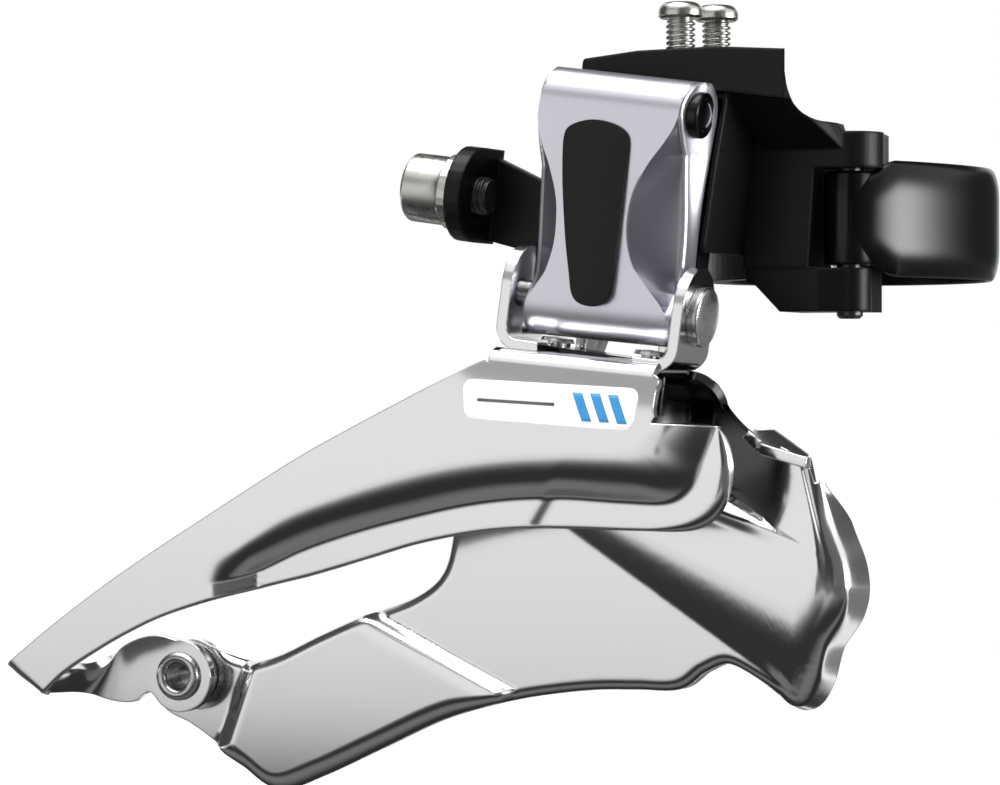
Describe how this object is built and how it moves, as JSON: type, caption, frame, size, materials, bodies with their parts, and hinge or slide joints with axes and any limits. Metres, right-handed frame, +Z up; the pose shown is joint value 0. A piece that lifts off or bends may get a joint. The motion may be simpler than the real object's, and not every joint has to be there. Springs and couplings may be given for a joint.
{
  "type": "front derailleur",
  "caption": "Bicycle front derailleur: a hinged band clamp, a sprung four-bar linkage with limit screws and a cable arm, and a stamped two-plate chain cage with a swept tail.",
  "frame": {"origin": "axis of the seat tube clamp at the band's mid height", "axes": "+X forward along the bicycle, +Y from the chain cage towards the seat tube, +Z up along the seat tube"},
  "size_m": [0.1226, 0.0791, 0.1038],
  "materials": {
    "black_casting": "satin",
    "hinge_pin_steel": "satin",
    "black_band": "gloss",
    "clamp_nut_zinc": "satin",
    "clamp_washer_zinc": "satin",
    "clamp_bolt_steel": "satin",
    "outer_upper_axle_steel": "satin",
    "outer_upper_clip_steel": "satin",
    "inner_upper_axle_steel": "satin",
    "inner_upper_clip_steel": "satin",
    "bush_nylon": "matte",
    "spring_wire": "satin",
    "high_screw_zinc": "bright",
    "low_screw_zinc": "bright",
    "silver_alloy": "satin paint",
    "plate_black": "satin",
    "black_steel": "satin",
    "cable_washer_zinc": "bright",
    "cable_bolt_steel": "bright",
    "outer_chrome": "bright",
    "inner_chrome": "bright",
    "roof_rivet_rear_steel": "satin",
    "roof_rivet_front_steel": "satin",
    "tail_spacer_steel": "satin",
    "tail_rivet_steel": "bright",
    "outer_lower_axle_steel": "satin",
    "inner_lower_axle_steel": "satin"
  },
  "bodies": {
    "bracket": {"main_bracket": "black_casting", "hinge_pin": "hinge_pin_steel", "clamp_washer": "clamp_washer_zinc", "outer_upper_axle": "outer_upper_axle_steel", "outer_upper_clip": "outer_upper_clip_steel", "inner_upper_axle": "inner_upper_axle_steel", "inner_upper_clip": "inner_upper_clip_steel", "spring_bush": "bush_nylon", "return_spring": "spring_wire"},
    "band": {"clamp_band": "black_band", "clamp_nut": "clamp_nut_zinc"},
    "clamp_screw": {"clamp_bolt": "clamp_bolt_steel"},
    "high_stop": {"high_limit_screw": "high_screw_zinc"},
    "low_stop": {"low_limit_screw": "low_screw_zinc"},
    "outer_arm": {"outer_link": "silver_alloy", "name_plate": "plate_black"},
    "inner_arm": {"inner_link": "black_steel", "cable_washer": "cable_washer_zinc"},
    "cable_anchor": {"cable_bolt": "cable_bolt_steel"},
    "cage": {"outer_cage_plate": "outer_chrome", "inner_cage_plate": "inner_chrome", "roof_rivet_rear": "roof_rivet_rear_steel", "roof_rivet_front": "roof_rivet_front_steel", "tail_spacer": "tail_spacer_steel", "tail_rivet": "tail_rivet_steel", "outer_lower_axle": "outer_lower_axle_steel", "inner_lower_axle": "inner_lower_axle_steel"}
  },
  "joints": [
    {"name": "outer_link_swing", "type": "hinge", "parent": "bracket", "child": "outer_arm", "pos_m": [-0.0152, -0.042, 0.0136], "axis": [-0.9903, 0, 0.1392], "range_deg": [0, 38], "stiffness_Nm_per_rad": 0.2, "springref_deg": -68.75},
    {"name": "inner_link_swing", "type": "hinge", "parent": "bracket", "child": "inner_arm", "pos_m": [-0.01527, -0.029, 0.01311], "axis": [-0.9903, 0, 0.1392], "range_deg": [0, 38], "deforming": ["return_spring"]},
    {"name": "cage_swing", "type": "hinge", "parent": "outer_arm", "child": "cage", "pos_m": [-0.01868, -0.042, -0.01116], "axis": [-0.9903, 0, 0.1392], "range_deg": [-38, 0]},
    {"name": "band_hinge", "type": "hinge", "parent": "bracket", "child": "band", "pos_m": [0.0066, -0.0216, 0], "axis": [0, 0, -1], "range_deg": [0, 70]},
    {"name": "clamp_bolt_slide", "type": "slide", "parent": "bracket", "child": "clamp_screw", "axis": [-0.8829, -0.4695, 0], "range_m": [0, 0.01]},
    {"name": "high_limit_screw_slide", "type": "slide", "parent": "bracket", "child": "high_stop", "axis": [0, 0, 1], "range_m": [0, 0.003]},
    {"name": "low_limit_screw_slide", "type": "slide", "parent": "bracket", "child": "low_stop", "axis": [0, 0, 1], "range_m": [0, 0.003]},
    {"name": "cable_bolt_slide", "type": "slide", "parent": "inner_arm", "child": "cable_anchor", "axis": [-0.9903, 0, 0.1392], "range_m": [0, 0.0025]}
  ],
  "couplings": [
    {"joint": "inner_link_swing", "follows": "outer_link_swing", "ratio": 1},
    {"joint": "cage_swing", "follows": "outer_link_swing", "ratio": -1}
  ]
}
